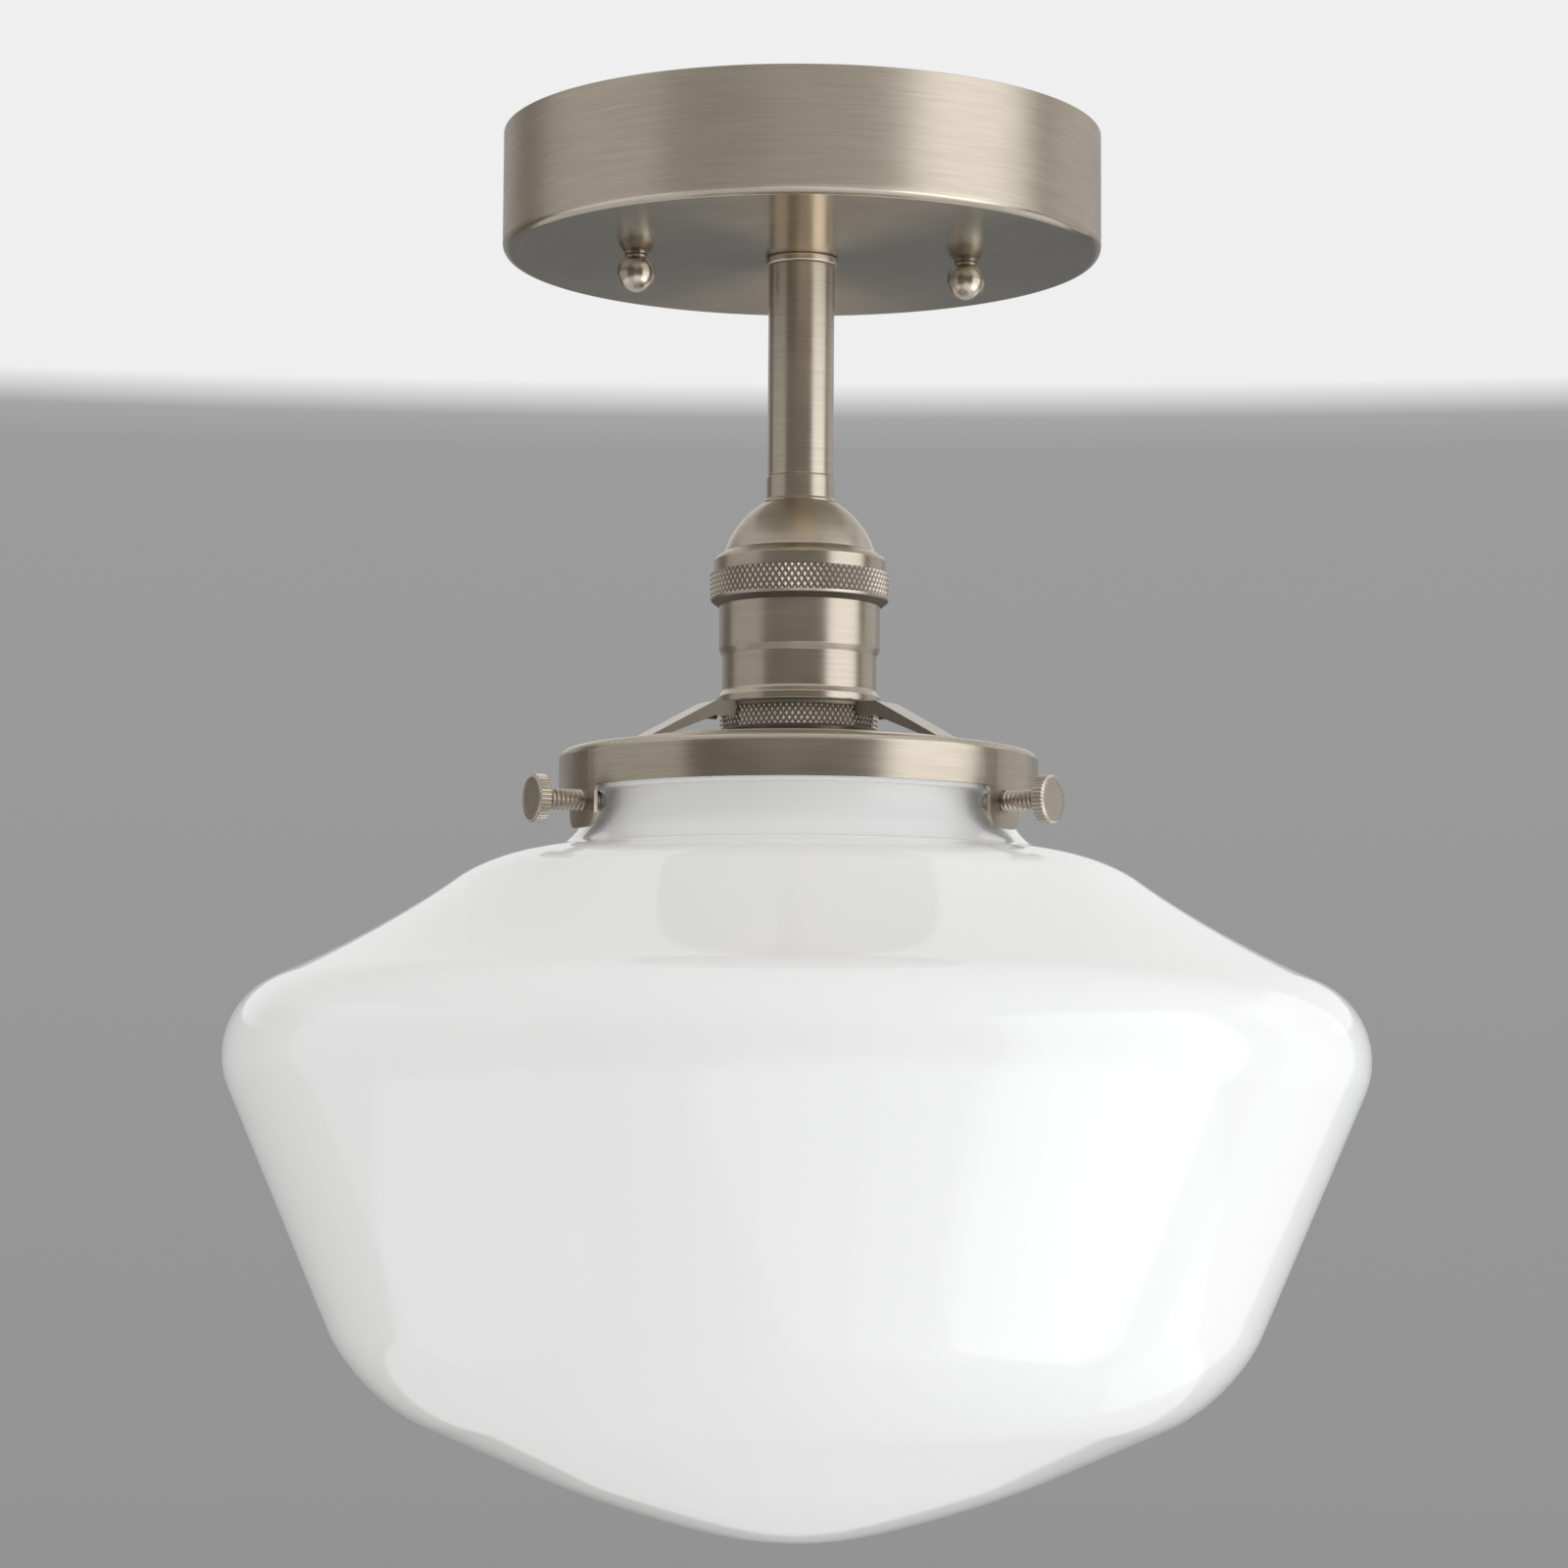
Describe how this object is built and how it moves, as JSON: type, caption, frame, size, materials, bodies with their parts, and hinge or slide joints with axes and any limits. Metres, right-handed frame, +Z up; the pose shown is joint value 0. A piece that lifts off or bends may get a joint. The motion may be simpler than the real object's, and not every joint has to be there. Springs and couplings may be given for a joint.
{
  "type": "semi flush ceiling light",
  "caption": "Semi flush ceiling light: flat round canopy, short stem, knurled socket and a spoked gallery that holds a closed opal schoolhouse glass with thumb screws.",
  "frame": {"origin": "on the ceiling, at the centre between the two ceiling box screws, on the lamp axis", "axes": "+Z up into the ceiling along the lamp axis; +X towards the right-hand ball nut; the two box screw slots lie along Y"},
  "size_m": [0.2544, 0.2544, 0.3155],
  "materials": {
    "nickel": "brushed nickel plate",
    "zinc": "bright zinc plate",
    "green_screw": "green lacquer",
    "copper": "bare copper",
    "brass": "bright",
    "phenolic": "moulded black",
    "fibre": "vulcanised fibre",
    "black_wire": "smooth insulation",
    "white_wire": "smooth insulation",
    "connector_plastic": "moulded orange",
    "opal_glass": "glossy opal white",
    "lamp_metal": "satin",
    "lamp_insulator": "black",
    "lamp_plastic": "white satin",
    "circuit_board": "white solder mask",
    "lamp_diffuser": "frosted white"
  },
  "bodies": {
    "ceiling_bracket": {"box_strap": "zinc", "strap_eyelet": "zinc"},
    "fixture": {"canopy": "nickel", "check_ring": "nickel", "stem_tube": "nickel", "stem_collar": "nickel", "socket_cap": "nickel", "socket_ring": "nickel", "socket_shell": "nickel", "canopy_strap": "zinc", "canopy_studs": "zinc", "stud_lock_nuts": "zinc", "ground_screw": "green_screw", "ground_lead": "copper", "canopy_nipple": "zinc", "nipple_nut": "zinc", "lock_washer": "zinc", "socket_nipple": "zinc", "cap_bushing": "zinc", "socket_body": "phenolic", "socket_liner": "fibre", "lamp_screw_shell": "brass", "centre_contact": "brass", "hot_terminal": "brass", "neutral_terminal": "zinc", "terminal_screws": "brass", "hot_lead": "black_wire", "neutral_lead": "white_wire", "wire_connectors": "connector_plastic"},
    "ball_nut_left": {"ball_nut_left": "nickel"},
    "ball_nut_right": {"ball_nut_right": "nickel"},
    "holder": {"gallery": "nickel", "uno_ring": "nickel"},
    "screw_left": {"thumb_screw_left": "nickel"},
    "screw_right": {"thumb_screw_right": "nickel"},
    "screw_back": {"thumb_screw_back": "nickel"},
    "shade": {"shade_glass": "opal_glass"},
    "lamp": {"bulb_cap": "lamp_metal", "bulb_contact": "lamp_metal", "bulb_insulator": "lamp_insulator", "bulb_housing": "lamp_plastic", "led_board": "circuit_board", "bulb_diffuser": "lamp_diffuser"}
  },
  "joints": [
    {"name": "strap_swivel", "type": "hinge", "parent": "ceiling_bracket", "child": "fixture", "pos_m": [0, 0, -0.003], "axis": [0, 0, 1], "range_deg": [-66, 66]},
    {"name": "ball_left_unscrew", "type": "slide", "parent": "fixture", "child": "ball_nut_left", "axis": [0, 0, -1], "range_m": [0, 0.009]},
    {"name": "ball_right_unscrew", "type": "slide", "parent": "fixture", "child": "ball_nut_right", "axis": [0, 0, -1], "range_m": [0, 0.009]},
    {"name": "ring_unscrew", "type": "slide", "parent": "fixture", "child": "holder", "axis": [0, 0, -1], "range_m": [0, 0.006]},
    {"name": "shade_lift", "type": "slide", "parent": "holder", "child": "shade", "axis": [0, 0, 1], "range_m": [0, 0.0012]},
    {"name": "lamp_unscrew", "type": "slide", "parent": "fixture", "child": "lamp", "axis": [0, 0, -1], "range_m": [0, 0.024]},
    {"name": "screw_back_back_out", "type": "slide", "parent": "holder", "child": "screw_back", "axis": [0.1305, 0.9914, 0], "range_m": [0, 0.007]},
    {"name": "screw_left_back_out", "type": "slide", "parent": "holder", "child": "screw_left", "axis": [-0.9239, -0.3827, 0], "range_m": [0, 0.007]},
    {"name": "screw_right_back_out", "type": "slide", "parent": "holder", "child": "screw_right", "axis": [0.7934, -0.6088, 0], "range_m": [0, 0.007]}
  ]
}
